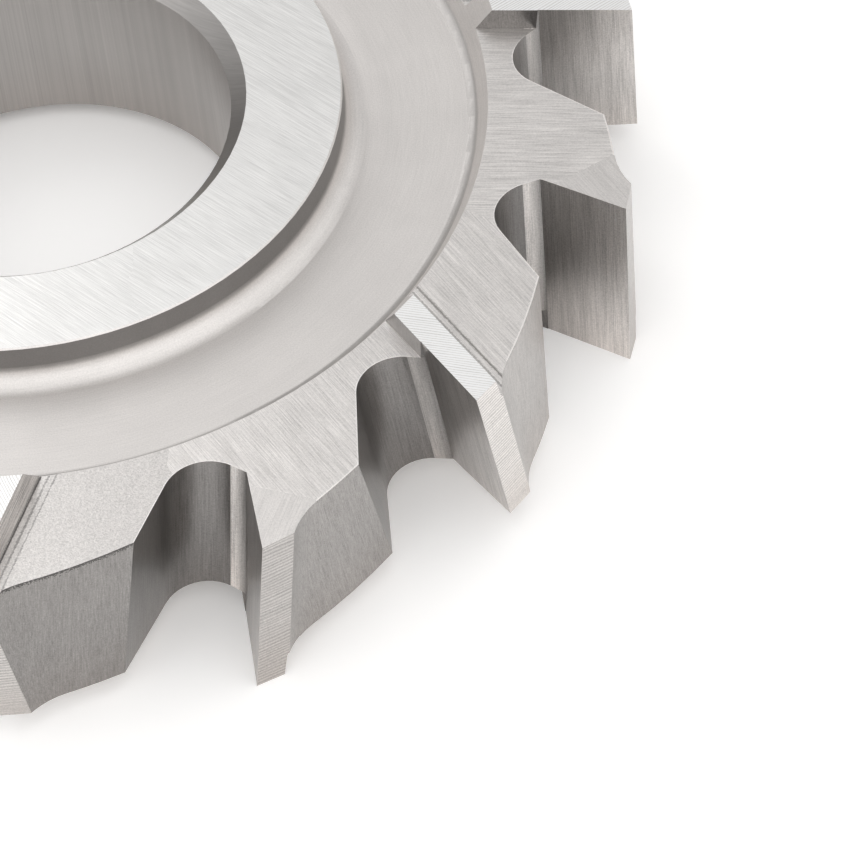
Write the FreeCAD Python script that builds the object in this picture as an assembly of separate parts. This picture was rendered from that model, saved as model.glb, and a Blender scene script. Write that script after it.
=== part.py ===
"""Side and face milling cutter with staggered teeth, one solid of high speed steel.

Millimetres.  Z is the axis of the bore and the cutter lies on Z = 0.  Tooth 0 stands on +X,
and the numbers run anticlockwise seen from above.  Even teeth lead with their lower corner and
have a raised side land underneath.  Odd teeth are their mirror image in the middle plane and
have it on top.  The cutter turns clockwise seen from above.
"""
import FreeCAD, Part
import math
import os

# Disc and bore
outer_diameter = 80.0
width = 14.0
bore_diameter = 27.0
bore_chamfer = 1.1
keyway_width = 7.0
keyway_height = 29.8
keyway_corner_radius = 0.8

# Hub and the turned recess round it, alike on both sides
hub_diameter = 41.6
hub_edge_break = 0.1
recess_depth = 3.0
recess_mouth_diameter = 62.4
recess_wall_angle = 35.0
hub_fillet = 1.3
rim_fillet = 0.9

# Teeth, seen along the axis
tooth_pairs = 7
helix_angle = 8.3
rake_angle = 13.5
tooth_depth = 8.1

# Flute behind each cutting edge: rake face, narrow strip, round gullet, straight wall
strip_height = 2.2
strip_width = 1.2
strip_angle = 33.0
gullet_radius = 2.7
flute_wall_angle = 45.4

# Back of each tooth: ground land, hollow relief, long curved back
land_width = 2.15
land_relief_angle = 4.5
relief_run = 2.15
relief_drop = 1.77
relief_hollow = 0.18
back_angle = 20.8
back_radius = 40.0

# Sides of the teeth: raised side land, and the milled face that lies lower
side_land_width = 1.8
side_land_height = 1.65
side_land_foot = 0.35
step_gap = 0.05
step_width = 0.9
step_depth = 0.1
facet_reach = 4.4
facet_half_length = 3.3
facet_turn = 47.0
facet_tilt = 2.0

# How far a cutting tool runs past the work, the share of a pitch that the cut over a back
# covers, the allowance that finishing takes off, and what a side land keeps of it before its flute
overrun = 1.0
back_cut_run = 0.75
allowance = 0.3
land_allowance = 0.03

outer_radius = outer_diameter / 2
bore_radius = bore_diameter / 2
hub_radius = hub_diameter / 2
gullet_floor_radius = outer_radius - tooth_depth
clear_radius = outer_radius + allowance + overrun
tooth_count = 2 * tooth_pairs
pitch = 360.0 / tooth_count
half_twist = math.degrees(width / 2 * math.tan(math.radians(helix_angle)) / outer_radius)
milled_face = width - side_land_height

AXIS = FreeCAD.Vector(0, 0, 1)
ORIGIN = FreeCAD.Vector(0, 0, 0)
SAME_PLACE = 1e-6


def unit(degrees):
    """Unit vector in the XY plane at this angle from +X."""
    return FreeCAD.Vector(math.cos(math.radians(degrees)), math.sin(math.radians(degrees)), 0)


def angle_of(vector):
    return math.degrees(math.atan2(vector.y, vector.x))


def reach(start, direction, radius):
    """The point where a ray from start meets the circle of this radius about the axis."""
    along = start.dot(direction)
    step = -along + math.sqrt(along ** 2 - start.dot(start) + radius ** 2)
    return start + direction * step


def line(start, end):
    return Part.LineSegment(start, end).toShape()


def arc(start, middle, end):
    return Part.Arc(start, middle, end).toShape()


def turned(shape, degrees):
    """A copy of the shape, turned about the axis of the cutter."""
    copy = shape.copy()
    copy.rotate(ORIGIN, AXIS, degrees)
    return copy


def mirrored(shape):
    """The shape's mirror image in the middle plane of the cutter."""
    return shape.mirror(FreeCAD.Vector(0, 0, width / 2), AXIS)


def tooth_angle(index):
    return index * pitch


def hand(index):
    """+1 for the teeth that lead with the lower corner, -1 for those that lead with the upper."""
    return 1 if index % 2 == 0 else -1


def half_profile():
    """Edges of the turned blank above the middle plane, from the bore out, in the XZ plane."""
    def at(radius, z):
        return FreeCAD.Vector(radius, 0, z)

    floor = width - recess_depth
    mouth_radius = recess_mouth_diameter / 2
    slope = math.radians(recess_wall_angle)
    wall_foot_radius = mouth_radius - recess_depth * math.tan(slope)
    # The rim fillet turns from the flat floor into the sloping wall
    turn = math.pi / 2 - slope
    tangent = rim_fillet * math.tan(turn / 2)
    fillet_start = at(wall_foot_radius - tangent, floor)
    fillet_middle = at(fillet_start.x + rim_fillet * math.sin(turn / 2),
                       floor + rim_fillet * (1 - math.cos(turn / 2)))
    fillet_end = at(wall_foot_radius + tangent * math.sin(slope), floor + tangent * math.cos(slope))
    hub_arc_middle = at(hub_radius + hub_fillet * (1 - math.cos(math.pi / 4)),
                        floor + hub_fillet * (1 - math.sin(math.pi / 4)))
    chamfer_foot = at(bore_radius, width - bore_chamfer)
    chamfer_top = at(bore_radius + bore_chamfer, width)
    hub_break_top = at(hub_radius - hub_edge_break, width)
    hub_break_foot = at(hub_radius, width - hub_edge_break)
    hub_wall_foot = at(hub_radius, floor + hub_fillet)
    floor_start = at(hub_radius + hub_fillet, floor)
    mouth = at(mouth_radius, width)
    blank_corner = at(outer_radius + allowance, width)
    return [
        line(at(bore_radius, width / 2), chamfer_foot),
        line(chamfer_foot, chamfer_top),
        line(chamfer_top, hub_break_top),
        line(hub_break_top, hub_break_foot),
        line(hub_break_foot, hub_wall_foot),
        arc(hub_wall_foot, hub_arc_middle, floor_start),
        line(floor_start, fillet_start),
        arc(fillet_start, fillet_middle, fillet_end),
        line(fillet_end, mouth),
        line(mouth, blank_corner),
        line(blank_corner, at(outer_radius + allowance, width / 2)),
    ]


def turned_blank():
    """Bored and faced disc with its hub and recesses, before any tooth is cut."""
    upper = half_profile()
    edges = upper + [mirrored(edge) for edge in upper]
    wire = Part.Wire(Part.__sortEdges__(edges))
    return Part.Face(wire).revolve(ORIGIN, AXIS, 360)


def keyway():
    """Cutter for the keyway, on the -X side under the middle of an upper tooth."""
    depth = keyway_height - bore_radius
    box = Part.makeBox(depth, keyway_width, width + 2 * overrun,
                       FreeCAD.Vector(-depth, -keyway_width / 2, -overrun))
    corners = [e for e in box.Edges if abs(e.CenterOfMass.x + depth) < SAME_PLACE
               and abs(e.Vertexes[0].Z - e.Vertexes[1].Z) > width]
    return box.makeFillet(keyway_corner_radius, corners)


def twisted(section, direction):
    """Solid between two turned copies of a section, so that its walls follow the helix."""
    turn = half_twist * (1 + 2 * overrun / width) * direction
    lower = turned(section, -turn)
    lower.translate(FreeCAD.Vector(0, 0, -overrun))
    upper = turned(section, turn)
    upper.translate(FreeCAD.Vector(0, 0, width + overrun))
    return Part.makeLoft([lower, upper], True, True)


# Local frame of one tooth: the cutting edge is at the tip, and the body lies to its +Y side
tip = FreeCAD.Vector(outer_radius, 0, 0)
rake_inward = unit(180 - rake_angle)
into_body = unit(90 - rake_angle)


def flute_section():
    """Outline of the flute in front of one cutting edge."""
    knee_radius = gullet_floor_radius + strip_height
    offset = outer_radius * math.sin(math.radians(rake_angle))
    rake_length = (outer_radius * math.cos(math.radians(rake_angle))
                   - math.sqrt(knee_radius ** 2 - offset ** 2))
    knee = tip + rake_inward * rake_length
    strip_foot = knee + unit(180 + strip_angle) * strip_width
    # The gullet circle touches the floor radius and passes through the foot of the strip
    centre_radius = gullet_floor_radius + gullet_radius
    foot_radius = strip_foot.Length
    cosine = ((centre_radius ** 2 + foot_radius ** 2 - gullet_radius ** 2)
              / (2 * centre_radius * foot_radius))
    centre = unit(angle_of(strip_foot) - math.degrees(math.acos(cosine))) * centre_radius
    start_angle = angle_of(strip_foot - centre)
    end_angle = 270 - flute_wall_angle
    gullet_middle = centre + unit((start_angle + end_angle) / 2) * gullet_radius
    wall_foot = centre + unit(end_angle) * gullet_radius
    wall_end = reach(wall_foot, unit(-flute_wall_angle), clear_radius)
    rake_end = reach(tip, -rake_inward, clear_radius)
    return Part.Wire([
        line(rake_end, knee),
        line(knee, strip_foot),
        arc(strip_foot, gullet_middle, wall_foot),
        line(wall_foot, wall_end),
        line(wall_end, rake_end),
    ])


def back_section():
    """Outline of what is cut away over the land, the hollow relief and the back of one tooth."""
    relief = math.tan(math.radians(land_relief_angle))
    lead_in = tip + FreeCAD.Vector(overrun * relief, -overrun, 0)
    land_end = tip + FreeCAD.Vector(-land_width * relief, land_width, 0)
    back_start = tip + FreeCAD.Vector(-relief_drop, land_width + relief_run, 0)
    chord = back_start - land_end
    inward = FreeCAD.Vector(-chord.y, chord.x, 0).normalize()
    relief_middle = (land_end + back_start) * 0.5 + inward * relief_hollow
    back_centre = back_start - unit(back_angle) * back_radius
    # The cut ends inside the next tooth's flute
    last_ray = unit(back_cut_run * pitch)
    along = back_centre.dot(last_ray)
    back_end = last_ray * (along + math.sqrt(along ** 2 - back_centre.dot(back_centre)
                                             + back_radius ** 2))
    middle_angle = (back_angle + angle_of(back_end - back_centre)) / 2
    back_middle = back_centre + unit(middle_angle) * back_radius
    # The straight outer sides span less than half a pitch each, so they stay clear of the blank
    outside = clear_radius / math.cos(math.radians(pitch / 4))
    last_corner = last_ray * outside
    middle_corner = unit(back_cut_run * pitch / 2) * outside
    first_corner = FreeCAD.Vector(outside, -overrun, 0)
    return Part.Wire([
        line(lead_in, land_end),
        arc(land_end, relief_middle, back_start),
        arc(back_start, back_middle, back_end),
        line(back_end, last_corner),
        line(last_corner, middle_corner),
        line(middle_corner, first_corner),
        line(first_corner, lead_in),
    ])


def along_rake(points):
    """Prism along the side cutting edge of an upper tooth; points are (depth behind it, z)."""
    start = tip - rake_inward * 2 * overrun
    corners = [start + into_body * depth + AXIS * z for depth, z in points]
    length = 2 * overrun + outer_radius - hub_radius - hub_fillet
    face = Part.Face(Part.makePolygon(corners + corners[:1]))
    return face.extrude(rake_inward * length)


def side_cut():
    """Everything milled off the upper side between the raised side lands."""
    ring_height = side_land_height + overrun
    inner_radius = hub_radius + hub_fillet
    base = FreeCAD.Vector(0, 0, milled_face)
    ring = Part.makeCylinder(clear_radius, ring_height, base)
    ring = ring.cut(Part.makeCylinder(inner_radius, ring_height, base))
    top = width + 2 * overrun
    below = milled_face - overrun
    foot = side_land_width + side_land_foot
    land = along_rake([(-land_allowance, below), (-land_allowance, top), (side_land_width, top),
                       (side_land_width, width), (foot, milled_face), (foot, below)])
    upper_teeth = [tooth_angle(i) - half_twist for i in range(1, tooth_count, 2)]
    return ring.cut([turned(land, angle) for angle in upper_teeth])


def step_cuts():
    """Shallow strip milled along the foot of each raised side land on the upper side."""
    start = side_land_width + side_land_foot + step_gap
    end = start + step_width
    low = milled_face - step_depth
    high = milled_face + step_depth
    strip = along_rake([(start, low), (end, low), (end, high), (start, high)])
    return [turned(strip, tooth_angle(i) - half_twist) for i in range(1, tooth_count, 2)]


def facet_cuts():
    """Slightly tilted facets that lower the idle corners of the even teeth on the upper side."""
    along = unit(facet_turn)
    outward = unit(facet_turn - 90)
    slope = math.tan(math.radians(facet_tilt))
    hinge = tip - outward * facet_reach + AXIS * milled_face
    inner = -overrun
    outer = facet_reach + overrun

    def at(distance, height):
        return hinge - along * facet_half_length + outward * distance + AXIS * height

    corners = [at(inner, -inner * slope), at(outer, -outer * slope), at(outer, overrun),
               at(inner, overrun)]
    face = Part.Face(Part.makePolygon(corners + corners[:1]))
    wedge = face.extrude(along * 2 * facet_half_length)
    turn = half_twist * (1 - 2 * side_land_height / width)
    return [turned(wedge, tooth_angle(i) + turn) for i in range(0, tooth_count, 2)]


def on_both_sides(tools):
    """Upper side tools, and the same ones mirrored and moved on one tooth for the lower side."""
    return tools + [turned(mirrored(tool), pitch) for tool in tools]


def cutter():
    body = turned_blank().cut(keyway())
    body = body.cut(on_both_sides([side_cut()]))
    body = body.cut(on_both_sides(step_cuts()))
    back = back_section()
    flute = flute_section()
    teeth = range(tooth_count)
    body = body.cut([turned(twisted(back, hand(i)), tooth_angle(i)) for i in teeth])
    body = body.cut([turned(twisted(flute, hand(i)), tooth_angle(i)) for i in teeth])
    return body.cut(on_both_sides(facet_cuts()))


os.makedirs("parts", exist_ok=True)
shape = cutter()
if len(shape.Solids) != 1 or not shape.isValid():
    raise ValueError("the cutter is not one valid solid")
shape.Solids[0].exportStep("parts/cutter_body.step")
print("cutter_body", len(shape.Faces), "faces, volume", round(shape.Volume, 1))
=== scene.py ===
"""Steel finish, stage and camera for a side and face milling cutter with staggered teeth.

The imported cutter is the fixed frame.  Its one node keeps its shape and gets a ground steel
finish that knows where hub, recess, rim, side lands, flutes and backs lie on it.
"""
import math
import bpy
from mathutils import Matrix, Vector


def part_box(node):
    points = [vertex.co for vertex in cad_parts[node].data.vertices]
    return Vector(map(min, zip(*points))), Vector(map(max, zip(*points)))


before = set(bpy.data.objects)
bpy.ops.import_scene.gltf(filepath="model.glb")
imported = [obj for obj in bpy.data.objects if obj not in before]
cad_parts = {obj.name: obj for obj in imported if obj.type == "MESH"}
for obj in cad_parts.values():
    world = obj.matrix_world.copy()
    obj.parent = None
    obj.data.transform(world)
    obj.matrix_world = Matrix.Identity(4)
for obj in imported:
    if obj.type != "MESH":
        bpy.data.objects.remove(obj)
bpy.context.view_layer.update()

from types import SimpleNamespace

import bpy
from bpy.props import FloatProperty, FloatVectorProperty, IntProperty, PointerProperty
from mathutils import Matrix, Vector

bl_info = {
    "name": "Side and Face Cutter Finish",
    "version": (1, 0, 0),
    "blender": (4, 5, 0),
    "location": "View3D > Sidebar > Cutter",
    "description": "Ground steel finish, pale stage and camera for a side and face cutter",
    "category": "Material",
}

CUTTER = "cutter_body"
MM = 1000.0
node_low, node_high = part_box(CUTTER)

# How far a point may lie from the face that the sizes give it, in mm
PLAY = 0.03
# Part of the normal along the axis from which a face counts as flat
FLAT_LEVEL = 0.93
# A pair's sector starts this share of a pitch before its even tooth
SECTOR_LEAD = 0.6

# Strength of the grinding lines and of the fine specks on each face
LINES = {
    "hub": 0.3, "recess": 0.08, "bore": 0.2, "sharp_rim": 0.46, "sharp_facet": 0.24,
    "dull_rim": 0.1, "side_land": 0.2, "land": 0.3, "foot": 0.9, "back": 0.4, "flute": 0.42,
}
SPECKS = {
    "hub": 0.12, "recess": 0.34, "sharp_rim": 0.45, "sharp_facet": 0.45, "dull_rim": 0.95,
    "side_land": 0.25, "wall": 0.75,
}

# Place of each lamp to the right of, beyond and above the cutter, and its diameter, in metres
KEY_LIGHT = Vector((-0.1, 0.13, 0.19)), 0.15
SIDE_LIGHT = Vector((0.28, 0.12, 0.3)), 0.25


def degrees(name, description, default):
    return FloatProperty(name=name, description=description, default=math.radians(default),
                         subtype="ANGLE")


def length(name, description, default):
    """A length property; the default is given in millimetres."""
    return FloatProperty(name=name, description=description, default=default / MM,
                         unit="LENGTH", precision=5)


def share(name, description, default):
    return FloatProperty(name=name, description=description, default=default, min=0.0,
                         soft_max=1.0, subtype="FACTOR")


def colour(name, description, default):
    return FloatVectorProperty(name=name, description=description, default=default, size=3,
                               subtype="COLOR", min=0.0, max=1.0)


class CutterSizes(bpy.types.PropertyGroup):
    """Sizes of the cutter that its finish follows."""

    outer_diameter: length("Outer diameter", "Diameter over the cutting edges", 80.0)
    width: length("Width", "Distance between the two hub faces",
                  (node_high.z - node_low.z) * MM)
    hub_diameter: length("Hub", "Diameter of the raised hub", 41.6)
    recess_mouth: length("Recess mouth", "Diameter of the recess where it opens", 62.4)
    recess_wall: degrees("Recess wall", "Slope of the recess wall from the axis", 35.0)
    tooth_pairs: IntProperty(name="Tooth pairs", description="Pairs of staggered teeth",
                             default=7, min=1)
    helix: degrees("Helix", "Lean of the cutting edges, alternating in hand", 8.3)
    rake: degrees("Rake", "Rake angle of the peripheral cutting edges", 13.5)
    land: length("Land", "Width of the ground land behind a peripheral edge", 2.15)
    relief: length("Relief", "Width of the hollow relief behind the land", 2.15)
    relief_drop: length("Relief drop", "How far the back starts below the tip", 1.77)
    back_turn: degrees("Back", "Turn of the tooth's back where it starts", 20.8)
    back_radius: length("Back radius", "Radius of the curved tooth back", 40.0)
    side_land: length("Side land", "Width of the raised side lands", 1.8)
    side_land_height: length("Side land height", "Height of the side lands over the rim", 1.65)
    step_gap: length("Step gap", "From a side land's top to the strip behind it", 0.4)
    step: length("Step", "Width of the strip milled behind a side land", 0.9)
    tooth_depth: length("Tooth depth", "Depth of the flutes below the tips", 8.1)
    knee_height: length("Knee", "Height of the rake face's foot over the flute floor", 2.2)
    strip: length("Strip", "Width of the strip between rake face and gullet", 1.2)
    strip_turn: degrees("Strip turn", "Turn of that strip from the radius", 33.0)
    gullet_radius: length("Gullet radius", "Radius of the round flute floor", 2.7)
    flute_wall: degrees("Flute wall", "Turn of the flute's far wall", 45.4)


class CutterFinish(bpy.types.PropertyGroup):
    """Tones and grain of the steel."""

    steel: colour("Steel", "Tint of the ground steel", (1.0, 0.961, 0.932))
    # Painted reflection: the warm table seen in the lower half of the walls
    warm_reflection: colour("Warm steel", "Tint near the foot of the flutes", (1.0, 0.935, 0.89))
    fresh_steel: colour("Fresh steel", "Tint of hub and side lands", (1.0, 0.99, 0.972))
    hub: share("Hub tone", "Brightness of the ground hub faces", 0.83)
    recess: share("Recess tone", "Brightness of the blasted recess", 0.67)
    rim: share("Rim tone", "Brightness of the milled rim faces", 0.725)
    dull_rim: share("Dull rim tone", "The same where the milling marks are worn off", 0.64)
    facet: share("Facet tone", "Brightness of the idle corners", 0.67)
    side_land: share("Side land tone", "Brightness of the ground side lands", 0.97)
    land: share("Land tone", "Brightness of the lands on the outside", 0.61)
    even_land: share("Even land tone", "The same on the teeth of the other hand", 0.5)
    back: share("Back tone", "Brightness of the tooth backs", 0.4)
    flute: share("Flute tone", "Brightness of the milled flutes", 0.25)
    rake_face: share("Rake tone", "Brightness of the ground rake faces", 0.48)
    # Partly a painted highlight: the strips of the two hands get different tones
    strip: share("Strip tone", "Brightness of the strip in each flute", 0.72)
    odd_strip: share("Odd strip tone", "The same on the teeth of the other hand", 0.52)
    # Painted shade: the hub's upright turned wall is kept darker than the recess floor
    shaded_hub_wall: share("Hub wall tone", "Brightness of the turned wall of the hub", 0.25)
    bore: share("Bore tone", "Brightness of bore and keyway", 0.42)
    foot: share("Foot tone", "Brightness of the milled foot of a side land", 0.7)
    # Painted highlight: the fillet round the hub is made brighter than the recess
    fillet: share("Fillet tone", "Brightness of the turned fillet round the hub", 0.73)
    # Painted highlight: the burr along the rim's edge with its painted glint
    burr_glint: share("Burr tone", "Brightness of the burr along the rim's edge", 0.92)
    burr_glint_width: length("Burr width", "Width of that burr", 0.11)
    # Painted shade in the creases of the step behind a side land
    step_shade: share("Step lines", "Darkness of the lines behind a side land", 0.4)
    flat_roughness: share("Flat roughness", "Roughness of hub, rim and bore", 0.36)
    recess_roughness: share("Recess roughness", "Roughness of the recess", 0.5)
    wall_roughness: share("Wall roughness", "Roughness of flutes, backs and lands", 0.32)
    strip_roughness: share("Strip roughness", "Roughness of the strip in each flute", 0.6)
    grain: FloatProperty(name="Grain", description="Strength of the grinding marks", default=1.0,
                         min=0.0, max=3.0)
    bump: share("Bump", "How much of their depth the grinding marks show", 0.35)
    bump_depth: length("Bump depth", "Depth of the grinding marks", 0.03)
    ridge: length("Ridges", "Distance between the grinding ridges on the side lands", 0.19)
    land_ridge: length("Land ridges", "The same on the lands on the outside", 0.24)
    even_land_ridge: length("Even land ridges", "The same on the teeth of the other hand", 0.26)
    # The seed is set so that the tooth differences also paint light and shade on single teeth
    seed: IntProperty(name="Seed", description="Start of the small differences between the teeth",
                      default=1363, min=0)
    hub_grain_turn: degrees("Hub grain", "Direction of the grinding marks on the hub", -26.0)
    side_land_grain_turn: degrees("Side land grain", "Their turn from the side edge", 42.0)
    facet_grain_turn: degrees("Facet grain", "Their turn on the idle corners", -52.0)


class CutterStage(bpy.types.PropertyGroup):
    """Table, light and camera."""

    table: colour("Table", "Colour of the table", (0.99, 0.98, 0.97))
    table_glow: share("Table glow", "White that camera and reflections see on the table", 0.12)
    table_size: length("Table size", "Side of the square table", 4000.0)
    sky_top: FloatProperty(name="Sky top", description="Brightness straight above", default=1.22)
    sky_far: FloatProperty(name="Sky far", description="Brightness behind the cutter",
                           default=0.6)
    sky_near: FloatProperty(name="Sky near", description="Brightness behind the camera",
                            default=1.38)
    key_power: FloatProperty(name="Key light", description="Power of the soft key light",
                             default=0.105, unit="POWER")
    side_power: FloatProperty(name="Side light", description="Power of the soft side light",
                              default=0.06, unit="POWER")
    camera_turn: degrees("Turn", "Camera's turn round the axis from -Y", 21.2668)
    camera_rise: degrees("Rise", "Camera's height over the table as an angle", 48.104)
    camera_roll: degrees("Roll", "Camera's roll", -7.33)
    camera_distance: length("Distance", "Camera to the middle of its picture", 350.386)
    camera_right: length("Aim right", "Middle of the picture, right of the axis", 23.236)
    camera_down: length("Aim near", "Middle of the picture, nearer than the axis", 18.822)
    focal_length: FloatProperty(name="Focal length", description="In millimetres, on 36 mm",
                                default=231.81)


class Wire:
    """A socket of a node tree that can be used in sums; every step adds a node."""

    def __init__(self, tree, socket=None):
        self.tree = tree
        self.socket = socket

    def node(self, kind, settings=None, inputs=None, output=0):
        """Add a node: its settings first, then the values or links of its sockets."""
        made = self.tree.nodes.new(kind)
        for name, value in (settings or {}).items():
            setattr(made, name, value)
        for name, value in (inputs or {}).items():
            if isinstance(value, Wire):
                self.tree.links.new(value.socket, made.inputs[name])
            else:
                made.inputs[name].default_value = value
        return Wire(self.tree, made.outputs[output])

    def out(self, name):
        """Another output of the same node."""
        return Wire(self.tree, self.socket.node.outputs[name])

    def apply(self, operation, *others):
        """A math node that takes this socket first."""
        return self.node("ShaderNodeMath", {"operation": operation},
                         dict(enumerate((self, *others))))

    def __add__(self, other):
        return self.apply("ADD", other)

    __radd__ = __add__

    def __sub__(self, other):
        return self.apply("SUBTRACT", other)

    def __rsub__(self, other):
        return self.node("ShaderNodeMath", {"operation": "SUBTRACT"}, {0: other, 1: self})

    def __mul__(self, other):
        return self.apply("MULTIPLY", other)

    __rmul__ = __mul__

    def __truediv__(self, other):
        return self.apply("DIVIDE", other)

    def __gt__(self, other):
        return self.apply("GREATER_THAN", other)

    def __lt__(self, other):
        return self.apply("LESS_THAN", other)

    def __mod__(self, other):
        return self.apply("FLOORED_MODULO", other)

    def __abs__(self):
        return self.apply("ABSOLUTE")

    def wave(self):
        """Sine wave of this number of turns."""
        return (self * math.tau).apply("SINE")

    def between(self, low, high):
        """0 up to low, 1 from high on, and a smooth rise from one to the other."""
        return self.node("ShaderNodeMapRange", {"interpolation_type": "SMOOTHSTEP"},
                         {"Value": self, "From Min": low, "From Max": high})

    def pick(self, off, on):
        """off where this mask is 0, on where it is 1, and a mix of them in between."""
        return self.node("ShaderNodeMix", {"data_type": "FLOAT"}, {0: self, 2: off, 3: on})

    def pick_colour(self, off, on):
        """The same for two colours."""
        return self.node("ShaderNodeMix", {"data_type": "RGBA"}, {0: self, 6: off, 7: on}, 2)

    def scaled(self, factor):
        """This vector times a factor."""
        return self.node("ShaderNodeVectorMath", {"operation": "SCALE"},
                         {0: self, "Scale": factor})

    def noise(self, detail=2.0, rough=0.5):
        """Noise about 0 at this vector, one cell to the unit."""
        made = self.node("ShaderNodeTexNoise", {"noise_dimensions": "3D"},
                         {"Vector": self, "Scale": 1.0, "Detail": detail, "Roughness": rough})
        return made - 0.5


def vector(x, y, z):
    return x.node("ShaderNodeCombineXYZ", None, {0: x, 1: y, 2: z})


def distance(x, y):
    return (x * x + y * y).apply("SQRT")


def unit(angle):
    return Vector((math.cos(angle), math.sin(angle)))


class CutterPlan:
    """The cutter's outline in mm, with flute and back in a tooth's own frame."""

    def __init__(self, sizes):
        self.tip = sizes.outer_diameter / 2 * MM
        self.width = sizes.width * MM
        self.hub_radius = sizes.hub_diameter / 2 * MM
        self.mouth_radius = sizes.recess_mouth / 2 * MM
        self.recess_wall = sizes.recess_wall
        self.rim_height = self.width / 2 - sizes.side_land_height * MM
        self.tooth_count = 2 * sizes.tooth_pairs
        self.pitch = math.tau / self.tooth_count
        self.rake = sizes.rake
        self.half_twist = self.width / 2 * math.tan(sizes.helix) / self.tip

        # Rake face down to its knee, then the strip, the round gullet and the far wall
        floor = self.tip - sizes.tooth_depth * MM
        knee_radius = floor + sizes.knee_height * MM
        offset = self.tip * math.sin(self.rake)
        rake_length = (self.tip * math.cos(self.rake)
                       - math.sqrt(knee_radius ** 2 - offset ** 2))
        self.knee = Vector((self.tip, 0)) + unit(math.pi - self.rake) * rake_length
        self.strip_foot = self.knee + unit(math.pi + sizes.strip_turn) * sizes.strip * MM
        self.gullet = sizes.gullet_radius * MM
        centre_radius = floor + self.gullet
        foot_radius = self.strip_foot.length
        cosine = ((centre_radius ** 2 + foot_radius ** 2 - self.gullet ** 2)
                  / (2 * centre_radius * foot_radius))
        foot_angle = math.atan2(self.strip_foot.y, self.strip_foot.x)
        self.centre = unit(foot_angle - math.acos(cosine)) * centre_radius
        self.wall_normal = unit(math.pi / 2 - sizes.flute_wall)
        self.wall_foot = self.centre - self.wall_normal * self.gullet

        # Land, relief and curved back, and the step behind a side land
        self.land = sizes.land * MM
        self.relief_end = (sizes.land + sizes.relief) * MM
        back_start = Vector((self.tip - sizes.relief_drop * MM, self.relief_end))
        self.back_radius = sizes.back_radius * MM
        self.back_centre = back_start - unit(sizes.back_turn) * self.back_radius
        self.step_start = (sizes.side_land + sizes.step_gap) * MM
        self.step_end = self.step_start + sizes.step * MM


def cutter_places(start, plan):
    """Where a point is on the cutter, in mm from the axis and from the middle plane."""
    at = SimpleNamespace()
    at.point = start.node("ShaderNodeTexCoord", output="Object").scaled(MM)
    at.x = start.node("ShaderNodeSeparateXYZ", None, {0: at.point})
    at.y = at.x.out("Y")
    at.z = at.x.out("Z") - plan.width / 2
    at.height = abs(at.z)
    at.upper = at.z > 0
    at.radius = distance(at.x, at.y)
    at.azimuth = at.y.apply("ARCTAN2", at.x)
    at.recess_edge = (plan.mouth_radius
                      - (plan.width / 2 - at.height) * math.tan(plan.recess_wall))
    normal = start.node("ShaderNodeNewGeometry", output="Normal")
    at.level = abs(start.node("ShaderNodeSeparateXYZ", None, {0: normal}, "Z"))
    at.flat = at.level > FLAT_LEVEL
    # Clouds about 5 mm across, and specks of a tenth of a millimetre
    at.cloud = at.point.scaled(0.22).noise(3.0)
    at.speck = at.point.scaled(10.0).noise(2.0, 0.65)
    return at


def tooth_places(at, plan, finish):
    """Add where the point is in the frames of its teeth, which turn with the helix."""
    pair = 2 * plan.pitch
    lead = SECTOR_LEAD * plan.pitch
    part = (at.azimuth + lead) / pair
    turn = (part % 1) * pair - lead
    number = part.apply("FLOOR")
    twist = at.z * (2 * plan.half_twist / plan.width)

    def local(angle):
        return at.radius * angle.apply("COSINE"), at.radius * angle.apply("SINE")

    def behind_rake(point):
        """Distance of a point behind the rake face, into the tooth."""
        return (point[0] - plan.tip) * math.sin(plan.rake) + point[1] * math.cos(plan.rake)

    # The tooth whose body a point is on, and the tooth whose flute it faces
    even = turn - twist
    odd = turn + twist - plan.pitch
    behind_even = behind_rake(local(even))
    behind_odd = behind_rake(local(odd))
    past_even = behind_even > PLAY
    past_odd = behind_odd > PLAY
    at.is_even = past_even * (1 - past_odd)
    at.body_x, at.body_y = local(at.is_even.pick(odd + (1 - past_even) * pair, even))
    at.flute_x, at.flute_y = local(past_even.pick(even, past_odd.pick(odd, even - pair)))
    at.wall_depth = ((at.flute_x - plan.wall_foot.x) * plan.wall_normal.x
                     + (at.flute_y - plan.wall_foot.y) * plan.wall_normal.y)

    # On a side of the cutter, a tooth's marks start on a wavy line before its rake face
    sector_gap = 4.5
    sector_wave = 3.0
    sector_start = at.cloud * sector_wave - sector_gap
    sector_even = behind_even > sector_start
    sector_odd = behind_odd > sector_start
    edge_turn = (turn + plan.half_twist - at.upper * plan.pitch
                 + at.upper.pick(sector_odd * -1, 1 - sector_even) * pair)
    edge_x, edge_y = local(edge_turn)
    at.behind_edge = behind_rake((edge_x, edge_y))
    at.along_edge = edge_y * -math.sin(plan.rake) + (edge_x - plan.tip) * math.cos(plan.rake)

    # Differences between the teeth, from 0 to 1, that also paint the light and shade single teeth
    # catch; the low end has worn, dull marks
    wall_tooth = (number - (1 - past_even)) * 2 + 1 - at.is_even
    side_tooth = at.upper.pick((number + sector_odd) * 2, (number - (1 - sector_even)) * 2 + 1)
    tooth = at.flat.pick(wall_tooth, side_tooth) % plan.tooth_count + (finish.seed + 0.5)
    at.seed = tooth.node("ShaderNodeTexWhiteNoise", {"noise_dimensions": "1D"}, {"W": tooth},
                         "Value")
    at.dull = 1 - at.seed.between(0.2, 0.3)


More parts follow.
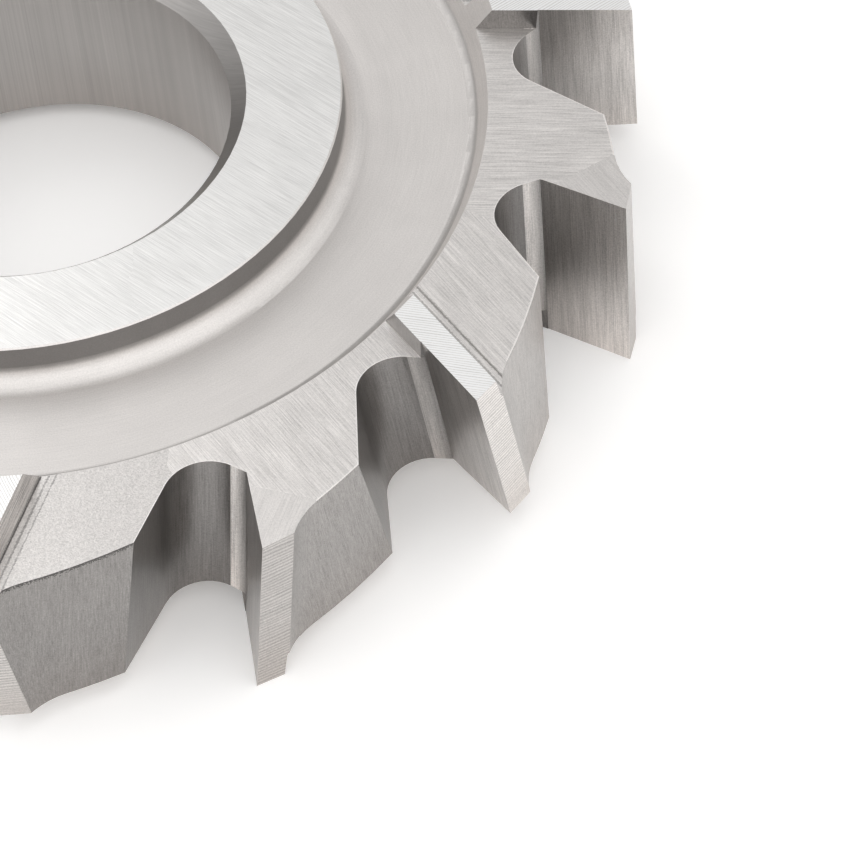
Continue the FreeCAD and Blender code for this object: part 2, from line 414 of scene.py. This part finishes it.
def cutter_faces(at, plan):
    """Masks of the cutter's faces: 1 where a point is on the face, and 0 elsewhere."""
    # Margins in mm that keep each face clear of its neighbours
    inside_hub = 2.0
    below_tip = 0.6
    behind_side_edge = 1.0
    before_rake = 0.5
    strip_fade = 0.75
    strip_end = 0.15
    facet_drop = 0.001

    on = SimpleNamespace()
    on.teeth = at.radius > at.recess_edge + PLAY
    on.inner = 1 - on.teeth
    on.wall = on.teeth * (1 - at.flat)
    on.hub = at.flat * (at.radius < plan.hub_radius)
    on.bore = (1 - at.flat) * (at.radius < plan.hub_radius - inside_hub)
    on.recess = on.inner * (1 - on.hub) * (1 - on.bore)

    # Sides of the teeth: raised lands, and the rim with its idle corners, sharp or worn dull
    on.side_land = on.teeth * at.flat * (at.height > plan.width / 2 - PLAY)
    on.rim = on.teeth * at.flat * (1 - on.side_land)
    on.raised_side = abs(at.upper - at.is_even)
    on.facet = on.rim * (1 - on.raised_side) * (at.height < plan.rim_height - facet_drop)
    on.sharp_facet = on.facet * (1 - at.dull)
    on.sharp_rim = (on.rim - on.facet) * (1 - at.dull)
    on.dull_rim = on.rim * at.dull

    # Outside and flutes
    on.land = on.wall * (at.body_y < plan.land + PLAY) * (at.body_x > plan.tip - below_tip)
    on.foot = (on.wall * (at.height > plan.rim_height + PLAY) * (1 - on.land)
               * (at.behind_edge > behind_side_edge))
    on.back = on.wall * (at.wall_depth < -PLAY) * (at.body_y > 0) * (1 - on.land) * (1 - on.foot)
    on.flute = on.wall - on.land - on.foot - on.back
    not_back = on.wall * (1 - on.back)
    on.rake_face = not_back * (at.flute_x > plan.knee.x) * (at.flute_y > -before_rake)
    on.strip = (not_back * (at.flute_x > plan.strip_foot.x) * (at.flute_y > 0)
                * (1 - at.flute_x.between(plan.knee.x - strip_fade, plan.knee.x + strip_end))
                * (at.height < plan.rim_height + PLAY))
    return on


def mark_places(at, on, plan, finish):
    """Place along a face's grinding marks and two places across them, in mm."""
    a = on.inner.pick(at.along_edge, at.x)
    b = on.inner.pick(at.behind_edge, at.y)
    grain_turn = (on.inner * finish.hub_grain_turn + on.side_land * finish.side_land_grain_turn
                  + on.facet * finish.facet_grain_turn)
    cosine = grain_turn.apply("COSINE")
    sine = grain_turn.apply("SINE")
    u = a * cosine + b * sine
    v = b * cosine - a * sine
    for face, along, across in ((on.recess, at.azimuth * plan.hub_radius, at.radius),
                                (on.wall, at.z, at.flute_x),
                                (on.land, at.body_y, at.z),
                                (on.foot, at.along_edge, at.z)):
        u = face.pick(u, along)
        v = face.pick(v, across)
    # A new pattern for each tooth's flat faces, and the third direction on the curved walls
    w = (on.flute + on.back).pick((at.seed + on.facet) * 40, at.flute_y)
    return u, v, w


def blend(on, strengths):
    """Sum of the masks of the named faces, each times its strength."""
    return sum(getattr(on, face) * strength for face, strength in strengths.items())


def grinding_marks(at, on, plan, finish):
    """Lines, ridges and specks about 0, each as strong as its face shows them."""
    u, v, w = mark_places(at, on, plan, finish)
    # Noise with few cells to the millimetre along the marks, and many across them
    fine = vector(u * 0.35, v * 12, w * 12).noise(2.0, 0.65)
    broad = vector(u * 0.12, v * 1.6, w * 1.6).noise(1.0)
    wobble = vector(u * 0.15, v * 0.9, w).noise(1.0)
    land_spacing = at.is_even.pick(finish.land_ridge * MM, finish.even_land_ridge * MM)
    spacing = on.land.pick(finish.ridge * MM, land_spacing)
    ridges = (v / spacing + wobble * 1.6).wave()
    # The ridges on the lands of odd teeth fade out towards the lower side
    land_ridges = at.is_even.pick(at.z.between(-6, -1) * 0.19, 0.17)
    lines = blend(on, LINES)
    grain = (fine * lines * 2.0 + broad * lines * on.rake_face.pick(0.4, 1.2)
             + at.speck * blend(on, SPECKS)
             + ridges * (on.side_land * 0.17 + on.land * land_ridges))
    return grain * finish.grain


def turned_tone(at, plan, finish):
    """Brightness inside the teeth: wall of the hub, recess and the two turned fillets, with
    painted shade on the upright walls and the outer fillet and a painted highlight on the fillet
    round the hub.
    """
    # Painted shade: upright faces inside the teeth are darker than the recess floor
    tone = at.level.between(0.0, 0.4).pick(finish.shaded_hub_wall, finish.recess)
    # Painted highlight on the turned fillet round the hub
    fillet_start = plan.hub_radius + 1.4
    fillet_end = plan.hub_radius + 2.8
    near_hub = 1 - at.radius.between(fillet_start, fillet_end)
    tone = (near_hub * at.level.between(0.2, 0.5)).pick(tone, finish.fillet)
    # Painted shade: the sloped fillet at the outer edge of the recess is darkened to 0.7 of its
    # tone
    outer_fillet_reach = 3.0
    outer_fillet = ((at.radius > at.recess_edge - outer_fillet_reach) * at.level.between(0.6, 0.75)
                    * (1 - at.level.between(0.97, 1.0)))
    return tone * outer_fillet.pick(1.0, 0.7)


def face_tone(at, on, plan, finish):
    """Brightness of each face, with its differences from tooth to tooth, which also paint the
    light and shade of single teeth.
    """
    # Painted shade on the rake faces towards the knee, deep in the flute, and painted light
    # towards the upper side on some teeth; they also differ from tooth to tooth
    rake_tone = (finish.rake_face * at.flute_x.between(plan.knee.x, plan.tip).pick(0.85, 1.25)
                 * at.seed.pick(0.74, 1.18) * (at.seed * at.z.between(-2, 5)).pick(1.0, 1.4))
    flute_tone = finish.flute * at.seed.between(0.6, 0.95).pick(1.0, 0.72)
    # The strip's tone differs between the two hands and between teeth, partly a painted highlight
    # that some strips catch
    strip_tone = at.is_even.pick(finish.strip * at.seed.pick(1.28, 0.88), finish.odd_strip)
    rim_tone = at.dull.pick(on.facet.pick(finish.rim, finish.facet), finish.dull_rim)
    tone = on.inner.pick(on.rake_face.pick(flute_tone, rake_tone),
                         turned_tone(at, plan, finish))
    for face, face_value in ((on.hub, finish.hub),
                             (on.bore, finish.bore),
                             (on.rim, rim_tone),
                             (on.side_land, finish.side_land),
                             (on.back, finish.back),
                             (on.strip, strip_tone),
                             (on.foot, finish.foot * at.seed.pick(1.14, 0.69)),
                             (on.land, at.is_even.pick(finish.land, finish.even_land))):
        tone = face.pick(tone, face_value)
    # Painted light and shade of single teeth on backs, lands and side lands, through the tooth's
    # seed
    tone = tone * (1 + (at.seed - 0.7) * (on.back * 0.5 + on.land * 0.3))
    return tone * (1 - on.side_land * (1 - at.seed) * 0.12)


def edge_marks(at, on, plan, finish, tone):
    """The tone with a painted highlight along the rim's ragged, burred edge, a painted shadow
    under that edge, and painted shade in dark lines along the steps.
    """
    # How far a point of the rim is from its edge with the back and with the flute
    inside_back = plan.back_radius - distance(at.body_x - plan.back_centre.x,
                                              at.body_y - plan.back_centre.y)
    off_gullet = distance(at.flute_x - plan.centre.x, at.flute_y - plan.centre.y) - plan.gullet
    past_foot = ((at.flute_x - plan.wall_foot.x) * plan.wall_normal.y
                 - (at.flute_y - plan.wall_foot.y) * plan.wall_normal.x)
    off_flute = abs((past_foot > 0).pick(off_gullet, -1 * at.wall_depth))
    past_relief = at.body_y > plan.relief_end
    # The burr's painted glint is narrower along the flute, and on dull teeth it is only there
    flute_loss = 0.05
    dull_loss = 0.06
    burr_glint_wave = 0.25
    to_edge = (abs(inside_back) + (1 - past_relief)).apply("MINIMUM", off_flute + flute_loss)
    to_edge = at.dull.pick(to_edge, off_flute + dull_loss)
    burr_glint = on.rim * (to_edge + at.speck * burr_glint_wave < finish.burr_glint_width * MM)
    tone = burr_glint.pick(tone, finish.burr_glint)

    # Painted shadow: a dark, ragged line on the back just under that edge, wider and darker on
    # dull teeth
    below_edge = plan.rim_height - at.height
    line_wave = 1.2
    line_width = at.dull.pick(0.1, 0.22)
    line_strength = at.dull.pick(0.15, 0.6)
    edge_shadow = (on.back * at.upper * (below_edge > 0)
              * (below_edge + at.speck * line_wave < line_width))
    tone = tone * (1 - edge_shadow * line_strength)

    # Painted shade: dark lines along the start, the middle and the end of the step behind a side
    # land
    to_step = abs(at.behind_edge - plan.step_start)
    for place in (plan.step_end, (plan.step_start + plan.step_end) / 2):
        to_step = to_step.apply("MINIMUM", abs(at.behind_edge - place))
    step_wave = 0.2
    near_step = 1 - (to_step + at.speck * step_wave).between(0.03, 0.1)
    return tone * (1 - on.rim * on.raised_side * near_step * finish.step_shade)


def steel_tint(at, on, plan, finish):
    """Warm near the foot of the flutes and other walls, a painted reflection of the warm table,
    and paler on the ground hub and side lands.
    """
    up_the_wall = at.z.between(-plan.width / 2, 0.0)
    tint = (up_the_wall + at.flat).pick_colour((*finish.warm_reflection, 1.0), (*finish.steel, 1.0))
    return (on.hub + on.side_land).pick_colour(tint, (*finish.fresh_steel, 1.0))


def steel_finish(sizes, finish):
    """The ground steel of the whole cutter, as one material."""
    material = bpy.data.materials.new("ground_steel")
    material.use_nodes = True
    tree = material.node_tree
    shader = tree.nodes["Principled BSDF"]
    plan = CutterPlan(sizes)
    at = cutter_places(Wire(tree), plan)
    tooth_places(at, plan, finish)
    on = cutter_faces(at, plan)

    grain = grinding_marks(at, on, plan, finish)
    tone = face_tone(at, on, plan, finish) * (1 + grain + at.cloud * 0.12)
    tone = edge_marks(at, on, plan, finish, tone)
    base = steel_tint(at, on, plan, finish).scaled(tone)
    roughness = on.recess.pick(finish.flat_roughness, finish.recess_roughness)
    roughness = on.wall.pick(roughness, on.strip.pick(finish.wall_roughness,
                                                      finish.strip_roughness))
    bump = grain.node("ShaderNodeBump", None, {"Strength": finish.bump,
                                               "Distance": finish.bump_depth, "Height": grain})
    for name, value in (("Base Color", base), ("Roughness", roughness), ("Normal", bump)):
        tree.links.new(value.socket, shader.inputs[name])
    shader.inputs["Metallic"].default_value = 1.0
    return material


class CUTTER_OT_finish(bpy.types.Operator):
    """Give the cutter its ground steel finish"""

    bl_idname = "cutter.finish"
    bl_label = "Finish the Cutter"

    def execute(self, context):
        scene = context.scene
        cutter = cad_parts[CUTTER]
        material = steel_finish(scene.cutter_sizes, scene.cutter_finish)
        cutter.data.materials.clear()
        cutter.data.materials.append(material)
        return {"FINISHED"}


def table_material(stage):
    """Pale, even paint; camera and reflections see it a little brighter than it lights."""
    material = bpy.data.materials.new("pale_table")
    material.use_nodes = True
    tree = material.node_tree
    shader = tree.nodes["Principled BSDF"]
    shader.inputs["Base Color"].default_value = (*stage.table, 1.0)
    shader.inputs["Roughness"].default_value = 0.7
    shader.inputs["Specular IOR Level"].default_value = 0.2
    start = Wire(tree)
    glow = start.node("ShaderNodeEmission", None, {"Strength": stage.table_glow})
    path = start.node("ShaderNodeLightPath", output="Is Camera Ray")
    shown = path.apply("MAXIMUM", path.out("Is Glossy Ray"))
    shown = shown.apply("MAXIMUM", path.out("Is Transmission Ray"))
    plain = Wire(tree, shader.outputs[0])
    glowing = start.node("ShaderNodeAddShader", None, {0: plain, 1: glow})
    mixed = start.node("ShaderNodeMixShader", None, {0: shown, 1: plain, 2: glowing})
    tree.links.new(mixed.socket, tree.nodes["Material Output"].inputs["Surface"])
    return material


def add_table(stage):
    """A large table that the cutter lies on."""
    bpy.ops.mesh.primitive_plane_add(size=stage.table_size, location=(0, 0, node_low.z))
    table = bpy.context.object
    table.name = "table"
    table.data.materials.append(table_material(stage))


def sky(world, stage):
    """A soft sky: bright above and behind the camera, dimmer behind the cutter."""
    world.use_nodes = True
    tree = world.node_tree
    start = Wire(tree)
    direction = start.node("ShaderNodeTexCoord", output="Generated")
    away = Vector((-math.sin(stage.camera_turn), math.cos(stage.camera_turn), 0))
    facing = start.node("ShaderNodeVectorMath", {"operation": "DOT_PRODUCT"},
                        {0: direction, 1: away}, "Value")
    rise = start.node("ShaderNodeSeparateXYZ", None, {0: direction}, "Z")
    level = facing.between(-0.7, 0.6).pick(stage.sky_near, stage.sky_far)
    level = rise.between(0.7, 0.98).pick(level, stage.sky_top)
    path = start.node("ShaderNodeLightPath", output="Is Camera Ray")
    level = path.pick(level, 1.0)
    tree.links.new(level.socket, tree.nodes["Background"].inputs["Strength"])
    tree.nodes["Background"].inputs["Color"].default_value = (1.0, 1.0, 1.0, 1.0)


def soft_light(name, place, size, power):
    """A round area light that points at the cutter."""
    bpy.ops.object.light_add(type="AREA", location=place)
    lamp = bpy.context.object
    lamp.name = name
    lamp.rotation_euler = (-place).to_track_quat("-Z", "Y").to_euler()
    lamp.data.shape = "DISK"
    lamp.data.size = size
    lamp.data.energy = power


def add_camera(stage, round_axis):
    """A long lens that looks down on the cutter's teeth and part of its hub."""
    rise = stage.camera_rise
    roll = stage.camera_roll
    back = Vector((0, -math.cos(rise), math.sin(rise)))
    right = Vector((1, 0, 0))
    up = Vector((0, math.sin(rise), math.cos(rise)))
    side = right * math.cos(roll) + up * math.sin(roll)
    top = up * math.cos(roll) - right * math.sin(roll)
    aim = Vector((stage.camera_right, -stage.camera_down, 0))
    place = aim + back * stage.camera_distance
    bpy.ops.object.camera_add()
    camera = bpy.context.object
    camera.name = "camera"
    turned = Matrix((side, top, back)).transposed().to_4x4()
    camera.matrix_world = round_axis @ Matrix.Translation(place) @ turned
    camera.data.lens = stage.focal_length
    camera.data.sensor_width = 36.0
    camera.data.clip_start = 0.01
    camera.data.clip_end = 10.0
    return camera


class CUTTER_OT_stage(bpy.types.Operator):
    """Set up the table, the soft light and the camera"""

    bl_idname = "cutter.stage"
    bl_label = "Set up the Stage"

    def execute(self, context):
        scene = context.scene
        stage = scene.cutter_stage
        bpy.ops.object.select_all(action="DESELECT")
        add_table(stage)
        scene.world = scene.world or bpy.data.worlds.new("World")
        sky(scene.world, stage)
        round_axis = Matrix.Rotation(stage.camera_turn, 4, "Z")
        for name, (place, size), power in (("key_light", KEY_LIGHT, stage.key_power),
                                           ("side_light", SIDE_LIGHT, stage.side_power)):
            soft_light(name, round_axis @ place, size, power)
        scene.camera = add_camera(stage, round_axis)
        scene.view_settings.view_transform = "Standard"
        return {"FINISHED"}


class CUTTER_PT_panel(bpy.types.Panel):
    """Lists the cutter's operators and settings"""

    bl_label = "Side and Face Cutter"
    bl_idname = "CUTTER_PT_panel"
    bl_space_type = "VIEW_3D"
    bl_region_type = "UI"
    bl_category = "Cutter"

    def draw(self, context):
        layout = self.layout
        for group in ("cutter_sizes", "cutter_finish", "cutter_stage"):
            settings = getattr(context.scene, group)
            box = layout.box()
            for name in settings.__annotations__:
                box.prop(settings, name)
        layout.operator("cutter.finish")
        layout.operator("cutter.stage")


CLASSES = (CutterSizes, CutterFinish, CutterStage, CUTTER_OT_finish, CUTTER_OT_stage,
           CUTTER_PT_panel)


def register():
    for item in CLASSES:
        bpy.utils.register_class(item)
    bpy.types.Scene.cutter_sizes = PointerProperty(type=CutterSizes)
    bpy.types.Scene.cutter_finish = PointerProperty(type=CutterFinish)
    bpy.types.Scene.cutter_stage = PointerProperty(type=CutterStage)


def unregister():
    del bpy.types.Scene.cutter_stage
    del bpy.types.Scene.cutter_finish
    del bpy.types.Scene.cutter_sizes
    for item in reversed(CLASSES):
        bpy.utils.unregister_class(item)


def main():
    register()
    bpy.ops.cutter.stage()
    bpy.ops.cutter.finish()


if __name__ == "__main__":
    main()
